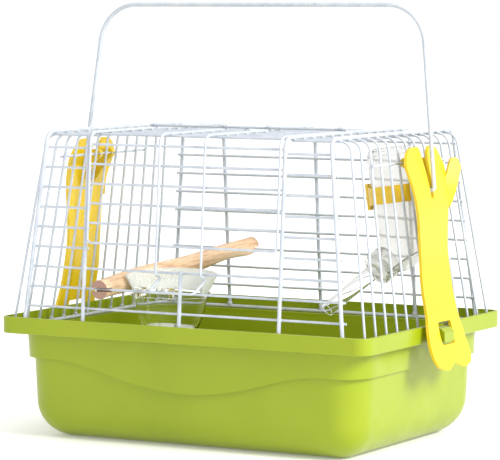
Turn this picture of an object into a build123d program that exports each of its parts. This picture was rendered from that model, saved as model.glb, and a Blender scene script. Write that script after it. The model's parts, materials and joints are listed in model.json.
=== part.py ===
"""Portable bird carrier: moulded tray, welded wire top with a swing-up door, two end latches,
bail handle, wooden perch, feeder cup and clip-on drinker.  Millimetres, +Z up, origin at the
middle of the tray's underside, front of the carrier towards -Y."""
import os
from math import atan, cos, degrees, radians, sin, tan

from build123d import *

# ---- tray
RIM_X, RIM_Y = 150.0, 110.0        # half sizes over the rim
RIM_Z = 89.0                       # top of the rim
RIM_BAND = 12.0                    # height of the rim's outer band
RIM_CORNER = 10.0
WALL = 2.2
UPPER_X, UPPER_Y = 141.0, 101.5    # half sizes of the proud upper wall, under the ledge
LOWER_X, LOWER_Y = 137.5, 98.0     # half sizes of the lower body at the step
BODY_CORNER = 24.0
EDGE = 0.8                         # rounding of the rim band's edges
DRAFT = 3.0                        # degrees
BOTTOM_FILLET = 27.0
STEP_END = RIM_Z - 29.5            # step height at the ends and corners
WAVE = [(95, RIM_Z - 31), (60, RIM_Z - 39.5), (30, RIM_Z - 46.0), (0, RIM_Z - 48.5)]
HOOK_HALF = 7.8                    # half width of the latch hooks
HOOK_X = 159.5                     # reach of the latch hooks

# ---- wire top (sections measured up from the rim)
R_THIN, R_THICK = 0.9, 1.4
FILM = 0.02                        # weld film between touching wires
BARS = 9                           # lengthwise bars on the front and on the back
BAR_LOW, BAR_PITCH = 8.6, 14.31
FACE_Y, FACE_LEAN = 104.5, 0.074   # front and back faces
ARCH_X, ARCH_LEAN = 129.4, 0.105   # corner arches
END_X, END_LEAN = 142.6, 0.143     # end panels
LONG_WIRES = 13                    # wires over the roof and down both ends
LONG_PITCH, LONG_CLOSE = 16.36, 0.019
LONG_TOP = 131.7                   # roof run of the long wires
MID_ARCH_X = 80.0
END_HINGE_Z = 114.0                # latch pivot wires
END_HINGE_HALF = 59.0
ARCH_BEND, LONG_BEND = 8.0, 9.0
SILL = 6                           # index of the door sill, counted from the top bar

# ---- door
DOOR_HINGE_Y = -9.0
DOOR_HALF = 77.3
DOOR_BAR_OVER = 0.6                # overhang of the door bars past the frame wire
PULL_X = 18.4
DOOR_OUT = 3.2                     # door wires stand this far out of the front face
PULL_OUT = DOOR_OUT + 2 * R_THIN + FILM
DOOR_BAR_TOP, DOOR_PITCH, DOOR_BARS = 126.0, 14.0, 5
EYE = 2 * R_THIN + 0.05            # centreline radius of the hinge eyes

# ---- latches, handle
PLATE = 2.2
STRAP = [(136.6, 126.0), (138.0, 115.5), (140.3, 108.0), (143.2, 98.0), (145.0, 88.0), (146.1, 66.0),
         (146.5, 52.0), (147.5, 40.0), (149.9, 22.0), (153.6, 5.0), (156.8, -9.0), (160.4, -19.5),
         (165.4, -32.0)]
OUTLINE = [(14.5, 125.4), (22.3, 122.8), (26.5, 118.0), (29.2, 111.5), (28.8, 106.0), (27.4, 98.5),
           (25.8, 90.0), (23.6, 78.0), (22.0, 62.0), (21.6, 47.0), (22.8, 33.0), (23.4, 20.0), (24.4, 7.0),
           (26.8, -3.0), (28.6, -12.0), (29.2, -20.0), (26.6, -26.5), (20.0, -29.6), (12.7, -30.4)]
TOES = [(12.7, -30.4), (6.0, -28.4), (0.0, -26.6)]
EAR = [(0, 81.0), (3.6, 85.6), (7.0, 91.3), (10.2, 97.1), (13.4, 102.8), (16.4, 107.6), (15.2, 113.7),
       (12.6, 114.9), (9.2, 114.3), (0, 101.0)]
EAR_Y, EAR_FLARE = 26.0, 30.0      # fold line of the ear and its outward flare in degrees
HANDLE_Z = 95.0
HANDLE_TOP = 225.5
HANDLE_FOOT_X, HANDLE_TOP_X = 147.0, 132.2
HANDLE_TIP_X = 139.0
HANDLE_R, HANDLE_BEND = 1.5, 30.0
HANDLE_LEAN = 4.0                  # degrees towards the back

# ---- furniture
PERCH_FRONT, PERCH_BACK = (-65.0, -107.0, 23.0), (-60.5, 106.0, 40.0)
PERCH_SLOT = 3.2                   # height of the wire slots in the perch ends
BOTTLE_R, BOTTLE_LEN, BOTTLE_IN, BOTTLE_Y, BOTTLE_FOOT = 18.0, 78.0, 23.2, 21.5, 46.0
CAP_X, CAP_Z = 95.2, 37.4          # middle of the drinker's cap
MOUTH_X, MOUTH_Z = 50.5, 3.2       # middle of the spout's mouth
NECK_R = 10.0
CUP_X, CUP_Y, CUP_A, CUP_B, CUP_TOP, CUP_DEPTH = -23.0, -78.6, 28.0, 18.6, 21.5, 26.0
HOOD_HIGH, HOOD_FLARE = 14.5, 7.5

LEDGE_TOP = RIM_Z - RIM_BAND + WALL
BASE_Z = LEDGE_TOP + R_THICK + FILM
FOOT_Z = BASE_Z + R_THICK + 0.15   # lower ends of the wires that stand on the base frame
ARCH_TOP = RIM_Z + LONG_TOP + R_THIN + R_THICK + FILM
DOOR_HINGE_Z = ARCH_TOP + R_THICK + R_THIN + FILM
DOOR_Z = DOOR_HINGE_Z - EYE


def face_y(z, out=0.0):
    """Depth of the front/back face at height z, moved outwards by out."""
    return FACE_Y - FACE_LEAN * (z - RIM_Z) + out


def arch_x(z):
    return ARCH_X - ARCH_LEAN * (z - RIM_Z)


def end_x(z, out=0.0):
    return END_X - END_LEAN * (z - RIM_Z) + out


def long_y(i, z):
    return (i - (LONG_WIRES - 1) / 2) * (LONG_PITCH - LONG_CLOSE * (z - RIM_Z))


def bar_z(k):
    """Height of bar k, counted from the top."""
    return RIM_Z + BAR_LOW + (BARS - 1 - k) * BAR_PITCH


def rounded_edges(points, bends):
    """Straight runs joined by arcs; bends holds one radius for each inner point."""
    pts = [Vector(*p) for p in points]
    edges, start = [], pts[0]
    for corner, after, radius in zip(pts[1:-1], pts[2:], bends):
        a, b = (start - corner).normalized(), (after - corner).normalized()
        half = a.get_angle(b) / 2
        reach = radius / tan(radians(half))
        middle = corner + (a + b).normalized() * (radius / sin(radians(half)) - radius)
        p, q = corner + a * reach, corner + b * reach
        edges += [Edge.make_line(start, p), Edge.make_three_point_arc(p, middle, q)]
        start = q
    return edges + [Edge.make_line(start, pts[-1])]


def tube(edges, radius):
    path = Wire(edges)
    section = Plane(origin=path @ 0, z_dir=path % 0) * Circle(radius)
    return sweep(section, path=path).solid()


def wire(points, radius, bend=0.0):
    bends = bend if isinstance(bend, (list, tuple)) else [bend] * (len(points) - 2)
    return tube(rounded_edges(points, bends), radius)


def rod(a, b, radius):
    return tube([Edge.make_line(Vector(*a), Vector(*b))], radius)


def rounded_block(half_x, half_y, z0, z1, corner, taper=0.0):
    """Rounded rectangle at z1 run down to z0, drawn in by taper degrees."""
    sketch = Plane.XY.offset(z1) * RectangleRounded(2 * half_x, 2 * half_y, corner)
    return extrude(sketch, amount=z1 - z0, dir=(0, 0, -1), taper=taper)


def bottom_edges(solid):
    return solid.edges().group_by(Axis.Z)[0]


def wave_prism(lift):
    """Everything above the step line, which dips in the middle of the front and the back."""
    side = [(RIM_X + 5, STEP_END), (118, STEP_END - 0.6)] + WAVE
    side = [(x, z + lift) for x, z in side]
    pts = side + [(-x, z) for x, z in reversed(side[:-1])]
    curve = Edge.make_spline([Vector(x, 0, z) for x, z in pts])
    top = RIM_Z + 20
    roof = Edge.make_line(curve @ 1, Vector(-RIM_X - 5, 0, top))
    roof2 = Edge.make_line(roof @ 1, Vector(RIM_X + 5, 0, top))
    roof3 = Edge.make_line(roof2 @ 1, curve @ 0)
    return extrude(Face(Wire([curve, roof, roof2, roof3])), amount=RIM_Y + 10, both=True)


def tray_form(inset):
    """Outer (inset 0) or inner (inset WALL) form of the tray body."""
    ledge = RIM_Z - RIM_BAND + (5 if inset else 0)
    corner = BODY_CORNER - inset
    lower = rounded_block(LOWER_X - inset, LOWER_Y - inset, inset, RIM_Z - 26, corner, DRAFT)
    lower = fillet(bottom_edges(lower), BOTTOM_FILLET - inset)
    upper = rounded_block(UPPER_X - inset, UPPER_Y - inset, 30, RIM_Z - RIM_BAND, corner, DRAFT)
    if inset:
        upper += rounded_block(UPPER_X - inset, UPPER_Y - inset, RIM_Z - RIM_BAND, ledge, corner)
    return lower + (upper & wave_prism(1.2 * inset))


def tray_hook(side):
    x0, x1 = RIM_X - 1, HOOK_X
    z = RIM_Z
    pts = [(x0, z - 1.5), (x1 - 3, z - 2.2), (x1, z - 5.0), (x1, z - 11.8), (x1 - 1.6, z - 11.8),
           (x1 - 2.0, z - 10.4), (x0, z - 11.0)]
    face = Face(Wire.make_polygon([Vector(side * x, 0, h) for x, h in pts], close=True))
    return extrude(face, amount=HOOK_HALF, both=True)


def tray():
    z = RIM_Z
    lip = rounded_block(RIM_X, RIM_Y, z - RIM_BAND, z, RIM_CORNER)
    lip = fillet(lip.edges().group_by(Axis.Z)[0] + lip.edges().group_by(Axis.Z)[-1], EDGE)
    well = rounded_block(RIM_X - WALL, RIM_Y - WALL, z - RIM_BAND + WALL, z + 1, RIM_CORNER - WALL)
    body = tray_form(0) + (lip - well)
    body -= tray_form(WALL)
    for side in (-1, 1):
        body += tray_hook(side)
    return body.solid()


def base_frame():
    hx, hy = end_x(BASE_Z + R_THICK), face_y(BASE_Z + R_THICK, 1.2)
    corners = [(0, -hy), (hx, -hy), (hx, hy), (-hx, hy), (-hx, -hy), (0, -hy)]
    return wire([(x, y, BASE_Z) for x, y in corners], R_THICK, 10.0)


def long_wire(i, x0=None, x1=None):
    """Long wire i from x0 to x1; None runs it down to the base frame on that side."""
    foot, top = FOOT_Z, RIM_Z + LONG_TOP
    y = long_y(i, top)
    pts = [(-end_x(foot), long_y(i, foot), foot), (-end_x(top), y, top)] if x0 is None else [(x0, y, top)]
    pts += [(end_x(top), y, top), (end_x(foot), long_y(i, foot), foot)] if x1 is None else [(x1, y, top)]
    return wire(pts, R_THIN, LONG_BEND)


def arch(x_at):
    y0, y1 = face_y(FOOT_Z, 1.2), face_y(ARCH_TOP, 1.2)
    pts = [(x_at(FOOT_Z), -y0, FOOT_Z), (x_at(ARCH_TOP), -y1, ARCH_TOP),
           (x_at(ARCH_TOP), y1, ARCH_TOP), (x_at(FOOT_Z), y0, FOOT_Z)]
    return wire(pts, R_THICK, ARCH_BEND)


def back_upright():
    pts = [(0, face_y(FOOT_Z, 1.2), FOOT_Z), (0, face_y(ARCH_TOP, 1.2), ARCH_TOP),
           (0, DOOR_HINGE_Y - 1.5, ARCH_TOP)]
    return wire(pts, R_THICK, ARCH_BEND)


def bar(k, side, x0=None, x1=None):
    """Lengthwise bar k on the front (side -1) or the back (side 1), inside the arches."""
    z = bar_z(k)
    y = side * face_y(z, 1.2 - R_THIN - R_THICK - FILM)
    end = arch_x(z) + R_THICK + 1.0
    return rod((-end if x0 is None else x0, y, z), (end if x1 is None else x1, y, z), R_THIN)


def sill_post():
    top = bar_z(SILL) + 1.6
    return rod((0, -face_y(FOOT_Z, 1.2), FOOT_Z), (0, -face_y(top, 1.2), top), R_THICK)


def end_hinge_wire(side):
    z = RIM_Z + END_HINGE_Z
    x = side * end_x(z, 2 * R_THIN + FILM)
    return rod((x, -END_HINGE_HALF, z), (x, END_HINGE_HALF, z), R_THIN)


def eye_edges(x):
    """Open eye round the door's hinge wire, ready to run on towards the front."""
    y, z, r = DOOR_HINGE_Y, DOOR_HINGE_Z, EYE
    points = [Vector(x, y + r * sin(radians(a)), z - r * cos(radians(a))) for a in (250, 125, 0)]
    return [Edge.make_three_point_arc(*points)]


def mirrored(half):
    return (half + mirror(half, about=Plane.YZ)).solid()


def door_frame():
    z, low = DOOR_Z, RIM_Z + DOOR_BAR_TOP - DOOR_BARS * DOOR_PITCH
    pts = [(-DOOR_HALF, DOOR_HINGE_Y, z), (-DOOR_HALF, -face_y(z, DOOR_OUT), z),
           (-DOOR_HALF, -face_y(low, DOOR_OUT), low), (0, -face_y(low, DOOR_OUT), low)]
    return mirrored(tube(eye_edges(-DOOR_HALF) + rounded_edges(pts, [7.0, 3.5]), R_THIN))


def door_pull():
    """Two uprights that pass under the sill and join in a finger pull."""
    z, high = DOOR_Z, bar_z(SILL) - 1.0
    under, pull = (-99.3, RIM_Z + 33.3), (-116.5, RIM_Z + 24.6)
    pts = [(-PULL_X, DOOR_HINGE_Y, z), (-PULL_X, -face_y(z, PULL_OUT), z),
           (-PULL_X, -face_y(high, PULL_OUT), high), (-PULL_X, *under), (-PULL_X, *pull), (0, *pull)]
    return mirrored(tube(eye_edges(-PULL_X) + rounded_edges(pts, [7.0, 1.4, 1.2, 3.0]), R_THIN))


def door_front_bars():
    end, out = DOOR_HALF + DOOR_BAR_OVER, DOOR_OUT - 2 * R_THIN - FILM
    bars = []
    for k in range(DOOR_BARS):
        z = RIM_Z + DOOR_BAR_TOP - k * DOOR_PITCH
        bars.append(rod((-end, -face_y(z, out), z), (end, -face_y(z, out), z), R_THIN))
    return bars


def door_roof_bars():
    end, z = DOOR_HALF + DOOR_BAR_OVER, DOOR_Z - 2 * R_THIN - FILM
    return [rod((-end, long_y(i, RIM_Z + LONG_TOP), z), (end, long_y(i, RIM_Z + LONG_TOP), z), R_THIN)
            for i in range((LONG_WIRES - 1) // 2)]


def strap_band(y0, y1):
    """Bent strap of the right-hand latch, between two depths."""
    mid = [Vector(x, y0, z + RIM_Z) for x, z in STRAP]
    inner = Edge.make_spline([p - Vector(PLATE / 2, 0, 0) for p in mid])
    outer = Edge.make_spline([p + Vector(PLATE / 2, 0, 0) for p in reversed(mid)])
    ends = [Edge.make_line(inner @ 1, outer @ 0), Edge.make_line(outer @ 1, inner @ 0)]
    return extrude(Face(Wire([inner, ends[0], outer, ends[1]])), amount=y1 - y0, dir=(0, 1, 0))


def outline_prism(edges):
    return extrude(Face(Wire(edges)), amount=60, dir=(1, 0, 0))


def at_rim(points, side=1):
    """Outline points (depth, height above the rim) on a plane inside the latch."""
    return [Vector(120, side * y, z + RIM_Z) for y, z in points]


def polyline(points):
    return [Edge.make_line(a, b) for a, b in zip(points, points[1:])]


def latch_outline():
    """Bone outline in the YZ plane: two lobes, waist and two toes."""
    right = Edge.make_spline(at_rim(OUTLINE))
    toes = Edge.make_spline(at_rim(TOES) + at_rim(reversed(TOES[:-1]), -1))
    left = Edge.make_spline(at_rim(reversed(OUTLINE), -1))
    return outline_prism([right, toes, left, Edge.make_line(left @ 1, right @ 0)])


def slot_prism():
    """Lopsided V between the lobes that narrows to the slot for the handle's hook."""
    down = at_rim([(12.5, 127), (7.6, 122.5), (2.3, 99), (2.3, 91)])
    rise = at_rim([(-2.3, 91), (-2.3, 112), (-3.4, 121), (-8.5, 127)])
    arc = Edge.make_three_point_arc(down[-1], *at_rim([(0, 88.7)]), rise[0])
    return outline_prism(polyline(down) + [arc] + polyline(rise) + [Edge.make_line(rise[-1], down[0])])


def latch_ear():
    """Tab beside the rear lobe, flared outwards."""
    pts = at_rim([(EAR_Y + w, z) for w, z in EAR])
    tab = strap_band(EAR_Y - 1, 60) & outline_prism(polyline(pts + pts[:1]))
    low, high = (Vector(x, EAR_Y, z + RIM_Z) for x, z in (STRAP[4], STRAP[2]))
    return tab.rotate(Axis(low, high - low), -EAR_FLARE)


def latch_jaw(y0):
    """Gusset with a C-shaped jaw that grips the hinge wire."""
    hz = RIM_Z + END_HINGE_Z
    hx = end_x(hz, 2 * R_THIN + FILM)
    pts = [(hx, hz + 3.4), (138.0, RIM_Z + 117.0), (144.8, RIM_Z + 90.0), (142.8, RIM_Z + 90.0),
           (hx, hz - 3.4)]
    gusset = extrude(Face(Wire.make_polygon([Vector(a, y0, b) for a, b in pts], close=True)),
                     amount=3.0, dir=(0, 1, 0))
    across = Plane(origin=(hx, y0 + 1.5, hz), z_dir=(0, 1, 0))
    gusset += across * Cylinder(3.4, 3.0)
    gusset -= across * Cylinder(R_THIN + 0.05, 5.0)
    mouth = Pos(hx - 2.4, y0 + 1.5, hz) * Box(4.0, 5.0, 1.3)
    return gusset - mouth


def latch(side):
    plate = (strap_band(-45, 45) & latch_outline()) - slot_prism()
    window = Pos(156, 0, RIM_Z - 5.6) * Box(14, 20.5, 16.0)
    plate -= fillet(window.edges().filter_by(Axis.X), 2.0)
    plate += latch_ear()
    for y0 in (-10.0, 7.0):
        plate += latch_jaw(y0)
    solid = plate.solid()
    return solid if side > 0 else mirror(solid, about=Plane.YZ)


def handle():
    """Bail with inward hooks that turn in the latch slots."""
    low, top = RIM_Z + HANDLE_Z, RIM_Z + HANDLE_TOP
    pts = [(HANDLE_TIP_X, 0, low + 5.5), (HANDLE_TIP_X, 0, low), (HANDLE_FOOT_X, 0, low),
           (HANDLE_TOP_X, 0, top), (0, 0, top)]
    half = wire(pts, HANDLE_R, [2.0, 2.0, HANDLE_BEND])
    return mirrored(half).rotate(Axis((0, 0, low), (1, 0, 0)), -HANDLE_LEAN)


def perch():
    """Slightly irregular branch, slotted at both ends for the wires."""
    a, b = (Vector(x, y, z + RIM_Z) for x, y, z in (PERCH_FRONT, PERCH_BACK))
    radii = [6.9, 7.4, 7.2, 6.8, 6.9, 6.4, 6.1, 6.2]
    drift = [(0, 0), (0.3, 0.5), (-0.4, 0.8), (-0.5, 0.1), (0.4, -0.6), (0.6, 0.2), (0.1, 0.5), (0, 0)]
    axis = (b - a).normalized()
    rings = []
    for i, (radius, (dx, dz)) in enumerate(zip(radii, drift)):
        centre = a + (b - a) * (i / (len(radii) - 1)) + Vector(dx, 0, dz)
        rings.append(Plane(origin=centre, x_dir=(1, 0, 0), z_dir=axis) * Circle(radius))
    branch = loft(rings)
    for side, k, end in ((-1, 7, a.Y), (1, SILL, b.Y)):
        wall = side * (face_y(bar_z(k), 1.2 - R_THIN - R_THICK - FILM) - R_THIN - 0.1)
        mid = (wall + end + side * 4) / 2
        branch -= Pos(a.X, mid, bar_z(k)) * Box(40, abs(end + side * 4 - wall), PERCH_SLOT)
    return branch.solid()


def turned(profile, x, y, z, tilt):
    """Revolve a closed (radius, height) profile about Z, tilt it about Y and place it."""
    face = Face(Wire.make_polygon([Vector(r, 0, h) for r, h in profile], close=True))
    body = revolve(face, axis=Axis.Z)
    return Pos(x, y, z) * Rot(0, tilt, 0) * body


def bottle_place():
    z = RIM_Z + BOTTLE_FOOT
    return end_x(z, -BOTTLE_IN), BOTTLE_Y, z, -degrees(atan(END_LEAN))


def neck_plane(along=0.0):
    """Plane across the drinker's neck, facing the mouth, so far past the middle of the cap."""
    cap, mouth = Vector(CAP_X, BOTTLE_Y, RIM_Z + CAP_Z), Vector(MOUTH_X, BOTTLE_Y, RIM_Z + MOUTH_Z)
    axis = (mouth - cap).normalized()
    return Plane(origin=cap + axis * along, x_dir=(0, 1, 0), z_dir=axis)


def on_neck(profile):
    """Revolve a closed (radius, distance past the cap's middle) profile about the neck."""
    face = Face(Wire.make_polygon([Vector(r, 0, h) for r, h in profile], close=True))
    return neck_plane() * revolve(face, axis=Axis.Z)


def bottle_form(inset):
    """Upright drum whose lower end is cut on a slope that leads into the neck."""
    r, n = BOTTLE_R - inset, BOTTLE_LEN - inset
    drum = turned([(0, n), (r - 5, n), (r - 1.5, n - 1.5), (r, n - 5), (r, -30), (0, -30)], *bottle_place())
    size = 140
    keep = Pos(0, NECK_R + 1 - inset - size / 2, -7.5 - inset - size / 2) * Box(100, size, size)
    return drum & (neck_plane() * keep)


def bottle_body():
    t = 1.2
    neck = on_neck([(0, -20), (NECK_R, -20), (NECK_R, 4), (0, 4)])
    bore = on_neck([(0, -20), (NECK_R - t, -20), (NECK_R - t, 5), (0, 5)])
    return (bottle_form(0) + neck - bottle_form(t) - bore).solid()


def bottle_cap():
    return on_neck([(10.3, -6.6), (11.6, -6.6), (12.1, -5.2), (12.1, 5.0), (10.6, 7.0), (0, 7.0),
                    (0, 4 + FILM), (10.3, 4 + FILM)]).solid()


def drinker_spout():
    """Clear tube that slopes on from the cap into the cage."""
    length = (Vector(MOUTH_X, MOUTH_Z) - Vector(CAP_X, CAP_Z)).length
    start = 7 + FILM
    return on_neck([(0, start), (6.2, start), (5.6, 16), (4.8, length - 10), (5.2, length), (4.2, length),
                    (3.9, length - 10), (4.2, 16), (4.2, start + 2), (0, start + 2)]).solid()


def bottle_band():
    """Ring round the bottle with a T-clip that hangs on the end wires."""
    x, y, z, tilt = bottle_place()
    r0, h, low = BOTTLE_R + 0.05, 12.5, 38.0
    wires = BOTTLE_IN + R_THIN
    ring = Pos(0, 0, low + h / 2) * Cylinder(r0 + 2.2, h)
    neck = Pos((r0 + wires) / 2 + 0.5, 0, low + h / 2) * Box(wires - r0 + 1.0, 10.0, h)
    head = Pos(wires + 1.6, 0, low + h / 2) * Box(2.0, 24.0, h)
    tab = Pos(-r0 - 1.1, -6, low + h / 2) * Box(2.0, 5.0, h + 6.5)
    body = ring + neck + head + tab
    body -= Cylinder(r0, 200)
    return (Pos(x, y, z) * Rot(0, tilt, 0) * body).solid()


def oval(a, b, z):
    return Pos(CUP_X, CUP_Y, z) * Ellipse(a, b)


def feeder_cup():
    """Oval cup with a flange and two hooks over the front bar."""
    top, low, t = RIM_Z + CUP_TOP, RIM_Z + CUP_TOP - CUP_DEPTH, 1.6
    middle = low + CUP_DEPTH / 2
    shell = loft([oval(CUP_A - 7, CUP_B - 6, low), oval(CUP_A - 1.5, CUP_B - 1.5, middle),
                  oval(CUP_A, CUP_B, top)])
    flange = extrude(oval(CUP_A + 3, CUP_B + 2.6, top - 3), amount=3)
    hollow = loft([oval(CUP_A - 7 - t, CUP_B - 6 - t, low + t),
                   oval(CUP_A - 1.5 - t, CUP_B - 1.5 - t, middle), oval(CUP_A - t, CUP_B - t, top + 0.01)])
    cup = shell + flange
    k = 7
    inner, outer = -face_y(bar_z(k), -1.12 - R_THIN - 0.4), -face_y(bar_z(k), -1.12 + R_THIN + 0.4)
    for x in (CUP_X - 11, CUP_X + 11):
        upright = Pos(x, inner + 4.0, top - 1.5 + 1.4) * Box(6, 8.0, 5.8)
        bridge = Pos(x, (inner + outer) / 2, top + 3.7) * Box(6, inner - outer + 4.0, 1.8)
        outside = Pos(x, outer - 1.0, top + 1.0) * Box(6, 2.0, 7.2)
        cup += upright + bridge + outside
    return (cup - hollow).solid()


def feeder_hood():
    """Flared splash guard on the flange, round the cage side of the cup."""
    top, shells = RIM_Z + CUP_TOP + FILM, []
    for inset in (0, 1.4):
        a, b = CUP_A + 1.4 - inset, CUP_B + 1.0 - inset
        shells.append(loft([oval(a, b, top), oval(a + HOOD_FLARE, b + HOOD_FLARE, top + HOOD_HIGH)]))
    front = Plane(origin=(CUP_X, CUP_Y - 5, top), x_dir=(1, 0, 0), z_dir=(0, 1, 0.25))
    behind = front * Box(200, 200, 100, align=(Align.CENTER, Align.CENTER, Align.MIN))
    slope = Plane(origin=(CUP_X, CUP_Y, top + HOOD_HIGH - 3), x_dir=(1, 0, 0), z_dir=(0, -3, 25))
    below = slope * Box(200, 200, 100, align=(Align.CENTER, Align.CENTER, Align.MAX))
    return ((shells[0] - shells[1]) & behind & below).solid()


def main():
    half = (LONG_WIRES - 1) // 2
    cut = MID_ARCH_X - 1.4
    nodes = {
        "tray": tray(),
        "base_frame": base_frame(),
        "long_wires": [long_wire(i) for i in range(half, LONG_WIRES)],
        "long_wires_left": [long_wire(i, x1=-cut) for i in range(half)],
        "long_wires_right": [long_wire(i, x0=cut) for i in range(half)],
        "arch_left": arch(lambda z: -arch_x(z)),
        "arch_right": arch(arch_x),
        "door_arch_left": arch(lambda z: -MID_ARCH_X),
        "door_arch_right": arch(lambda z: MID_ARCH_X),
        "back_upright": back_upright(),
        "front_bars_left": [bar(k, -1, x1=-cut) for k in range(SILL)],
        "front_bars_right": [bar(k, -1, x0=cut) for k in range(SILL)],
        "front_bars_full": [bar(k, -1) for k in range(SILL, BARS)],
        "back_bars": [bar(k, 1) for k in range(BARS)],
        "sill_post": sill_post(),
        "end_hinge_left": end_hinge_wire(-1),
        "end_hinge_right": end_hinge_wire(1),
        "door_hinge_wire": rod((-MID_ARCH_X - 2, DOOR_HINGE_Y, DOOR_HINGE_Z),
                               (MID_ARCH_X + 2, DOOR_HINGE_Y, DOOR_HINGE_Z), R_THIN),
        "door_frame": door_frame(),
        "door_pull": door_pull(),
        "door_front_bars": door_front_bars(),
        "door_roof_bars": door_roof_bars(),
        "latch_left": latch(-1),
        "latch_right": latch(1),
        "handle": handle(),
        "perch": perch(),
        "bottle_body": bottle_body(),
        "bottle_cap": bottle_cap(),
        "drinker_spout": drinker_spout(),
        "bottle_band": bottle_band(),
        "feeder_cup": feeder_cup(),
        "feeder_hood": feeder_hood(),
    }
    os.makedirs("parts", exist_ok=True)
    for name, shape in nodes.items():
        if isinstance(shape, list):
            shape = Compound(children=shape)
        export_step(shape, f"parts/{name}.step")


main()
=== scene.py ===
import json
import random

import bmesh
import bpy
from mathutils import Matrix, Vector, noise
from mathutils.bvhtree import BVHTree


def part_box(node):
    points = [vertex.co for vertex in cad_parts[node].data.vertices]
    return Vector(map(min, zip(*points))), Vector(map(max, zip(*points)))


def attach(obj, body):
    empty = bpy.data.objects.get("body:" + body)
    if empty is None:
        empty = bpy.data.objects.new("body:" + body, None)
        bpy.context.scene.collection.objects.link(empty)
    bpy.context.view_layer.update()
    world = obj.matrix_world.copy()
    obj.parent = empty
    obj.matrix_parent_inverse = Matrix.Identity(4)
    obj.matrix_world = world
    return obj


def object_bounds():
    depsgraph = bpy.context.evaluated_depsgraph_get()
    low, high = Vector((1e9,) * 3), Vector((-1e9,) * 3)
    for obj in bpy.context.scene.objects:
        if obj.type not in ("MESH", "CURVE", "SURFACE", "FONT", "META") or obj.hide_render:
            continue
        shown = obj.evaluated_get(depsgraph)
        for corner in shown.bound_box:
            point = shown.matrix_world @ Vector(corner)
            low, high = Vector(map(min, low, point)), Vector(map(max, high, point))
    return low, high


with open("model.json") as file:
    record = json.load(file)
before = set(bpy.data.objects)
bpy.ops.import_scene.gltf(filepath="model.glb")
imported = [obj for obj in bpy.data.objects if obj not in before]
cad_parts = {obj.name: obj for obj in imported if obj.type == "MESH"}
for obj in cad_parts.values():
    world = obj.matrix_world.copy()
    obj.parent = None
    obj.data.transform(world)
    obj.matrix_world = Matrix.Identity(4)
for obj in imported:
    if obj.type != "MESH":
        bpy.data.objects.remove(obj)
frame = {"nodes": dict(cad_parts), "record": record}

cad_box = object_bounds()
nodes = frame["nodes"]
THIN_R = (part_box("end_hinge_left")[1][0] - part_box("end_hinge_left")[0][0]) / 2
THICK_R = (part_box("base_frame")[1][2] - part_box("base_frame")[0][2]) / 2

NOISE_RANGE = (0.3, 0.7)   # where nearly all of a noise texture's values lie

# Weld beads: half sizes along X, Y and Z, in metres.
BAR_WELD = (0.0016, 0.0013, 0.0016)
ROOF_WELD = (0.0016, 0.0016, 0.0011)
THIN_FOOT = (0.0015, 0.0015, 0.0019)
THICK_FOOT = (0.0019, 0.0019, 0.0024)
DOOR_WELD = (0.0012, 0.0012, 0.0012)
BEAD_SEED = 7
BEAD_TURN = 0.3            # largest turn of a bead about Y, in radians
BEAD_SWELL = (0.92, 1.06)  # smallest and largest size of a bead against its nominal size
BEAD_LUMP = 0.10           # height of a bead's lumps against its size
MERGE = 1e-6               # vertices this close are one
SCAN_STEP = 0.0004         # spacing of the tests along a wire
TOUCH_GAP = 0.0003         # a wire this near the other's surface counts as welded to it
TOO_CLOSE = 1e-5           # a touch nearer than this to the centreline has no direction
TOP_SLICE = 2.2            # depth, in wire radii, of the slice that holds a wire's highest run
FOOT_BAND = 0.0012         # height of the slice that holds a wire's two lower ends
FOOT_RISE = 0.4            # height of a foot's bead above the wire's end, in wire radii
ENDS_APART = 0.1           # lower ends further apart than this along X lie along X, others along Y

FLOOR_HALF = 14.0
KEY_PLACE, KEY_SIZE, KEY_POWER, KEY_COLOR = (2.3, -0.35, 1.35), 0.9, 76.0, (1.0, 0.99, 0.97)
TOP_PLACE, TOP_SIZE, TOP_POWER = (0.2, 0.2, 2.4), 1.2, 8.0
WORLD_STRENGTH = 1.0
CAMERA_PLACE, CAMERA_TARGET = (1.04211, -1.85030, 0.31655), (-0.00169, -0.00105, 0.14998)
LENS_MM, SENSOR_MM = 209.763, 36.0


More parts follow.
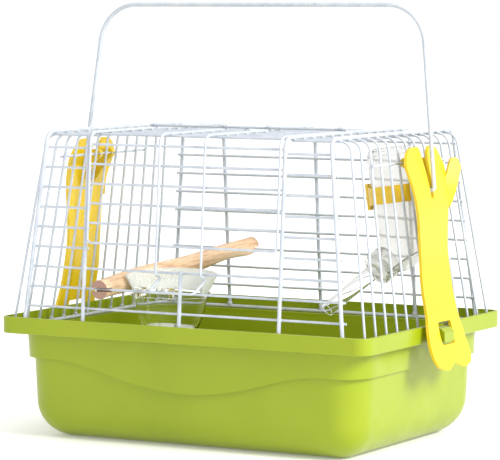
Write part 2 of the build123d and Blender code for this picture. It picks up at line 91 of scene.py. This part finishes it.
# ---------------------------------------------------------------- materials
class Shader:
    """One Principled material with short calls for its texture nodes."""

    def __init__(self, name, color, rough, **values):
        self.material = bpy.data.materials.new(name)
        self.material.use_nodes = True
        self.tree = self.material.node_tree
        self.bsdf = self.tree.nodes["Principled BSDF"]
        self.bsdf.inputs["Base Color"].default_value = (*color, 1)
        self.bsdf.inputs["Roughness"].default_value = rough
        for key, value in values.items():
            self.bsdf.inputs[key.replace("_", " ")].default_value = value
        self.place = self.node("ShaderNodeTexCoord")

    def node(self, kind, inputs=(), **settings):
        made = self.tree.nodes.new(kind)
        for key, value in settings.items():
            setattr(made, key, value)
        for key, value in dict(inputs).items():
            if isinstance(value, bpy.types.NodeSocket):
                self.tree.links.new(value, made.inputs[key])
            else:
                made.inputs[key].default_value = value
        return made

    def at(self, scale=(1, 1, 1), location=(0, 0, 0)):
        """Object coordinates in metres, moved by location and stretched by scale."""
        return self.node("ShaderNodeMapping", {"Vector": self.place.outputs["Object"], "Scale": scale,
                                               "Location": location}).outputs[0]

    def noise(self, scale, detail=3.0, stretch=(1, 1, 1), rough=0.5):
        return self.node("ShaderNodeTexNoise", {"Vector": self.at(stretch), "Scale": scale, "Detail": detail,
                                                "Roughness": rough}).outputs["Fac"]

    def ramp(self, fac, stops):
        made = self.node("ShaderNodeValToRGB", {"Fac": fac})
        points = made.color_ramp.elements
        while len(points) < len(stops):
            points.new(0.5)
        for point, (place, color) in zip(points, stops):
            point.position, point.color = place, (*color, 1)
        return made.outputs["Color"]

    def span(self, value, low, high, to_low=0.0, to_high=1.0):
        """Value from low to high, mapped to the range to_low to to_high."""
        return self.node("ShaderNodeMapRange", {"Value": value, "From Min": low, "From Max": high,
                                                "To Min": to_low, "To Max": to_high}).outputs[0]

    def mix(self, fac, a, b):
        """Colour a blended into colour b by fac."""
        made = self.node("ShaderNodeMix", data_type="RGBA")
        for key, value in ((0, fac), (6, a), (7, b)):      # sockets Factor, A and B of the colour mix
            if isinstance(value, bpy.types.NodeSocket):
                self.tree.links.new(value, made.inputs[key])
            else:
                made.inputs[key].default_value = value if key == 0 else (*value, 1)
        return made.outputs[2]

    def paint(self, color):
        self.tree.links.new(color, self.bsdf.inputs["Base Color"])

    def polish(self, fac, low, high):
        """Roughness between low and high, following fac."""
        self.tree.links.new(self.span(fac, *NOISE_RANGE, low, high), self.bsdf.inputs["Roughness"])

    def relief(self, *layers):
        """Bump from (height, strength, distance) layers, coarse first."""
        normal = None
        for height, strength, distance in layers:
            inputs = {"Height": height, "Strength": strength, "Distance": distance}
            if normal is not None:
                inputs["Normal"] = normal
            normal = self.node("ShaderNodeBump", inputs).outputs["Normal"]
        self.tree.links.new(normal, self.bsdf.inputs["Normal"])


def moulded_plastic(name, low, mid, high, rough, grain=0.10, **values):
    """Glossy moulding: faint flow clouds, a fine spark-eroded grain and slow ripples."""
    s = Shader(name, mid, rough, **values)
    clouds = s.noise(14, 4.0)
    streaks = s.noise(30, 3.0, (1, 1, 0.22))
    body = s.ramp(clouds, [(0.25, low), (0.5, mid), (0.78, high)])
    s.paint(s.mix(s.span(streaks, 0.42, 0.72, 0.0, 0.30), body, high))
    s.polish(s.noise(110, 4.0), rough - 0.06, rough + 0.09)
    s.relief((s.noise(22, 2.0), 0.16, 0.0008), (s.noise(1500, 2.0), grain, 0.0001))
    return s.material


def powder_coat(name, low, high, rough):
    """Thick white coat on wire: orange peel, slight pooling and a few grey rubs."""
    s = Shader(name, high, rough, Coat_Weight=0.35, Coat_Roughness=0.12)
    peel = s.noise(900, 3.0)
    pool = s.noise(120, 3.0)
    rubs = s.span(s.noise(60, 6.0, rough=0.7), 0.68, 0.78, 0.0, 0.22)
    coat = s.ramp(pool, [(0.3, low), (0.65, high)])
    s.paint(s.mix(rubs, coat, tuple(0.72 * c for c in low)))
    s.polish(s.noise(200, 3.0), rough - 0.05, rough + 0.10)
    s.relief((pool, 0.08, 0.0004), (peel, 0.10, 0.00010))
    return s.material


def clear_moulding(name, color, rough, cloud, **values):
    """Clear or milky moulding with slow waves in its wall and light handling haze."""
    s = Shader(name, color, rough, **values)
    haze = s.noise(70, 5.0, (1, 1, 0.4), 0.6)
    s.paint(s.mix(s.span(haze, 0.50, 0.80, 0.0, 0.3), color, cloud))
    s.polish(haze, rough, rough + 0.07)
    s.relief((s.noise(45, 2.0, (1, 1, 0.3)), 0.08, 0.0005), (s.noise(700, 2.0), 0.02, 0.0001))
    return s.material


def turned_wood():
    """Pale wood with grain along the perch and darker growth rings on its cut ends."""
    low, high = (Vector(c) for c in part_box("perch"))
    middle = (low + high) / 2
    s = Shader("perch_wood", (0.86, 0.66, 0.44), 0.55, Specular_IOR_Level=0.35)
    grain = s.noise(1.0, 6.0, (420, 26, 420), 0.62)
    pores = s.noise(1.0, 3.0, (1500, 90, 1500), 0.5)
    broad = s.noise(1.0, 3.0, (90, 9, 90), 0.5)
    side = s.ramp(grain, [(0.30, (0.44, 0.24, 0.12)), (0.46, (0.70, 0.48, 0.30)),
                          (0.68, (0.82, 0.62, 0.42))])
    side = s.mix(s.span(broad, 0.48, 0.70, 0.0, 0.45), side, (0.50, 0.32, 0.17))
    side = s.mix(s.span(pores, 0.60, 0.72, 0.0, 0.55), side, (0.34, 0.20, 0.10))
    rings = s.node("ShaderNodeTexWave", {
        "Vector": s.at((1, 1, 1), (-middle.x, -middle.y, -middle.z)), "Scale": 330.0, "Distortion": 3.5,
        "Detail": 3.0, "Detail Scale": 60.0}, wave_type="RINGS", rings_direction="Y").outputs["Fac"]
    cut = s.ramp(rings, [(0.1, (0.27, 0.15, 0.11)), (0.8, (0.40, 0.25, 0.19))])
    facing = s.node("ShaderNodeSeparateXYZ", {0: s.place.outputs["Normal"]}).outputs["Y"]
    facing = s.node("ShaderNodeMath", {0: facing}, operation="ABSOLUTE").outputs[0]
    s.paint(s.mix(s.span(facing, 0.80, 0.93), side, cut))
    s.polish(grain, 0.48, 0.66)
    s.relief((broad, 0.35, 0.0009), (grain, 0.40, 0.0003), (pores, 0.25, 0.00015))
    return s.material


GREEN = moulded_plastic("green_plastic", (0.232, 0.300, 0.002), (0.258, 0.328, 0.003), (0.285, 0.353, 0.006),
                        0.34, Coat_Weight=0.12, Coat_Roughness=0.10, Specular_IOR_Level=0.35)
YELLOW = moulded_plastic("yellow_plastic", (0.66, 0.455, 0.007), (0.70, 0.485, 0.010), (0.74, 0.52, 0.018),
                         0.28, Coat_Weight=0.15, Coat_Roughness=0.07, Specular_IOR_Level=0.4)
AMBER = moulded_plastic("band_plastic", (0.80, 0.50, 0.010), (0.84, 0.54, 0.013), (0.88, 0.59, 0.024), 0.28,
                        Coat_Weight=0.25, Coat_Roughness=0.08)
WIRE = powder_coat("cage_wire", (0.42, 0.465, 0.53), (0.52, 0.555, 0.61), 0.30)
BAIL = powder_coat("handle_wire", (0.40, 0.445, 0.50), (0.50, 0.535, 0.58), 0.26)
CLEAR = clear_moulding("clear_plastic", (0.99, 0.995, 0.99), 0.015, (0.975, 0.98, 0.97),
                       Transmission_Weight=1.0, IOR=1.18)
BOTTLE = clear_moulding("bottle_plastic", (0.98, 0.98, 0.975), 0.06, (0.93, 0.94, 0.92),
                        Transmission_Weight=0.84, IOR=1.14)
CAP = clear_moulding("cap_plastic", (0.985, 0.985, 0.965), 0.14, (0.95, 0.95, 0.91), Transmission_Weight=0.86,
                     IOR=1.12)
MILKY = clear_moulding("frosted_plastic", (0.88, 0.90, 0.85), 0.25, (0.80, 0.82, 0.74),
                       Transmission_Weight=0.45, IOR=1.30)
WOOD = turned_wood()

by_slot = {"green_plastic": GREEN, "cage_wire": WIRE, "handle_wire": BAIL, "yellow_plastic": YELLOW,
           "clear_plastic": CLEAR, "frosted_plastic": MILKY, "perch_wood": WOOD}


def dress(obj, material):
    obj.data.materials.clear()
    obj.data.materials.append(material)


for row in frame["record"]["subparts"]:
    dress(nodes[row["node"]], by_slot[row["material_slot"]])
for name, material in (("bottle_band", AMBER), ("bottle_body", BOTTLE), ("bottle_cap", CAP)):
    dress(nodes[name], material)


# ---------------------------------------------------------------- weld beads
def loose_parts(name):
    """Vertex positions of each separate wire in a CAD node, in an order that is the same every run."""
    bm = bmesh.new()
    bm.from_mesh(nodes[name].data)
    bmesh.ops.remove_doubles(bm, verts=bm.verts, dist=MERGE)
    left, parts = set(bm.verts), []
    while left:
        stack, part = [left.pop()], []
        while stack:
            v = stack.pop()
            part.append(v.co.copy())
            for e in v.link_edges:
                w = e.other_vert(v)
                if w in left:
                    left.discard(w)
                    stack.append(w)
        parts.append(sorted(part, key=tuple))
    bm.free()
    return sorted(parts, key=lambda part: tuple(round(c, 5) for c in part[0]))


def tree_of(names):
    """Search tree over the surfaces of several CAD nodes."""
    verts, faces = [], []
    for name in names:
        mesh, start = nodes[name].data, len(verts)
        verts += [v.co.copy() for v in mesh.vertices]
        faces += [[start + i for i in p.vertices] for p in mesh.polygons]
    return BVHTree.FromPolygons(verts, faces)


def straight_run(part):
    """Start and end along X, Y and Z of a wire's centreline at the wire's highest level."""
    top = max(v.z for v in part)
    run = [v for v in part if v.z > top - TOP_SLICE * THIN_R]
    y = (max(v.y for v in run) + min(v.y for v in run)) / 2
    return min(v.x for v in run), max(v.x for v in run), y, top - THIN_R


def crossings(part, tree):
    """Points where a straight wire touches the wires in the tree."""
    x0, x1, y, z = straight_run(part)
    found, best = [], None
    for i in range(int((x1 - x0) / SCAN_STEP) + 1):
        p = Vector((x0 + i * SCAN_STEP, y, z))
        near = tree.find_nearest(p, THIN_R + TOUCH_GAP)
        if near[0] is not None and (best is None or near[3] < best[0]):
            best = (near[3], p, near[0])
        if near[0] is None and best is not None:
            found.append(best)
            best = None
    if best is not None:
        found.append(best)
    return [p + (q - p).normalized() * THIN_R for _, p, q in found if (q - p).length > TOO_CLOSE]


def bead_mesh(name, spots):
    """One mesh of small uneven blobs at (centre, half sizes) spots, in the finish of the wires."""
    bm = bmesh.new()
    rng = random.Random(BEAD_SEED)
    for centre, size in spots:
        turn = Matrix.Rotation(rng.uniform(-BEAD_TURN, BEAD_TURN), 4, "Y")
        swell = rng.uniform(*BEAD_SWELL)
        made = bmesh.ops.create_icosphere(bm, subdivisions=2, radius=1.0)
        for v in made["verts"]:
            lump = 1.0 + BEAD_LUMP * noise.noise(v.co * 1.7 + centre * 900)
            shaped = turn @ Vector(c * s * lump * swell for c, s in zip(v.co, size))
            v.co = centre + shaped
    for f in bm.faces:
        f.smooth = True
    mesh = bpy.data.meshes.new(name)
    bm.to_mesh(mesh)
    bm.free()
    obj = bpy.data.objects.new(name, mesh)
    bpy.context.collection.objects.link(obj)
    obj.data.materials.append(WIRE)
    return obj


def feet(part, radius):
    """Centres of a bent wire's two lower ends."""
    low = min(v.z for v in part) + FOOT_BAND
    ends = [v for v in part if v.z < low]
    spread = max(v.x for v in ends) - min(v.x for v in ends)
    axis = 0 if spread > ENDS_APART else 1
    found = []
    for sign in (-1, 1):
        end = [v for v in ends if v[axis] * sign > 0]
        if end:
            found.append(sum(end, Vector()) / len(end) + Vector((0, 0, FOOT_RISE * radius)))
    return found


uprights = tree_of(["arch_left", "arch_right", "door_arch_left", "door_arch_right", "back_upright",
                    "sill_post"])
cage_spots = []
for name in ("front_bars_left", "front_bars_right", "front_bars_full", "back_bars"):
    for part in loose_parts(name):
        cage_spots += [(p, BAR_WELD) for p in crossings(part, uprights)]
for name in ("long_wires", "long_wires_left", "long_wires_right"):
    for part in loose_parts(name):
        cage_spots += [(p, ROOF_WELD) for p in crossings(part, uprights)]
        cage_spots += [(p, THIN_FOOT) for p in feet(part, THIN_R)]
for name in ("arch_left", "arch_right", "door_arch_left", "door_arch_right"):
    for part in loose_parts(name):
        cage_spots += [(p, THICK_FOOT) for p in feet(part, THICK_R)]
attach(bead_mesh("cage_welds", cage_spots), "carrier")

leaf = tree_of(["door_frame", "door_pull"])
door_spots = []
for name in ("door_front_bars", "door_roof_bars"):
    for part in loose_parts(name):
        door_spots += [(p, DOOR_WELD) for p in crossings(part, leaf)]
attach(bead_mesh("door_welds", door_spots), "door")


# ---------------------------------------------------------------- floor, light, camera
def paper_floor():
    """Wide pale paper under the carrier."""
    base = cad_box[0][2]
    corners = ((-1, -1), (1, -1), (1, 1), (-1, 1))
    verts = [(x * FLOOR_HALF, y * FLOOR_HALF, base) for x, y in corners]
    mesh = bpy.data.meshes.new("floor")
    mesh.from_pydata(verts, [], [(0, 1, 2, 3)])
    s = Shader("paper", (0.90, 0.90, 0.90), 0.85, Specular_IOR_Level=0.1, Emission_Color=(1, 1, 1, 1),
               Emission_Strength=0.20)
    s.paint(s.ramp(s.noise(3.0, 4.0), [(0.3, (0.89, 0.89, 0.885)), (0.7, (0.92, 0.92, 0.915))]))
    s.relief((s.noise(400, 3.0), 0.05, 0.0002))
    mesh.materials.append(s.material)
    obj = bpy.data.objects.new("floor", mesh)
    bpy.context.collection.objects.link(obj)


def softbox(name, place, aim, size, power, color=(1, 1, 1)):
    """Square area light at place, turned towards aim."""
    lamp = bpy.data.lights.new(name, "AREA")
    lamp.shape, lamp.size, lamp.energy, lamp.color = "SQUARE", size, power, color
    obj = bpy.data.objects.new(name, lamp)
    obj.location = place
    obj.rotation_euler = (aim - Vector(place)).to_track_quat("-Z", "Y").to_euler()
    bpy.context.collection.objects.link(obj)


paper_floor()
centre = (Vector(cad_box[0]) + Vector(cad_box[1])) / 2
softbox("key", KEY_PLACE, centre, KEY_SIZE, KEY_POWER, KEY_COLOR)
softbox("top", TOP_PLACE, centre, TOP_SIZE, TOP_POWER)

world = bpy.data.worlds.new("studio")
world.use_nodes = True
backdrop = world.node_tree.nodes["Background"]
backdrop.inputs["Color"].default_value = (1, 1, 1, 1)
backdrop.inputs["Strength"].default_value = WORLD_STRENGTH
bpy.context.scene.world = world
bpy.context.scene.view_settings.view_transform = "Standard"

lens = bpy.data.cameras.new("camera")
lens.lens, lens.sensor_width, lens.sensor_fit = LENS_MM, SENSOR_MM, "HORIZONTAL"
camera = bpy.data.objects.new("camera", lens)
camera.location = CAMERA_PLACE
camera.rotation_euler = (Vector(CAMERA_TARGET) - camera.location).to_track_quat("-Z", "Y").to_euler()
bpy.context.collection.objects.link(camera)
bpy.context.scene.camera = camera
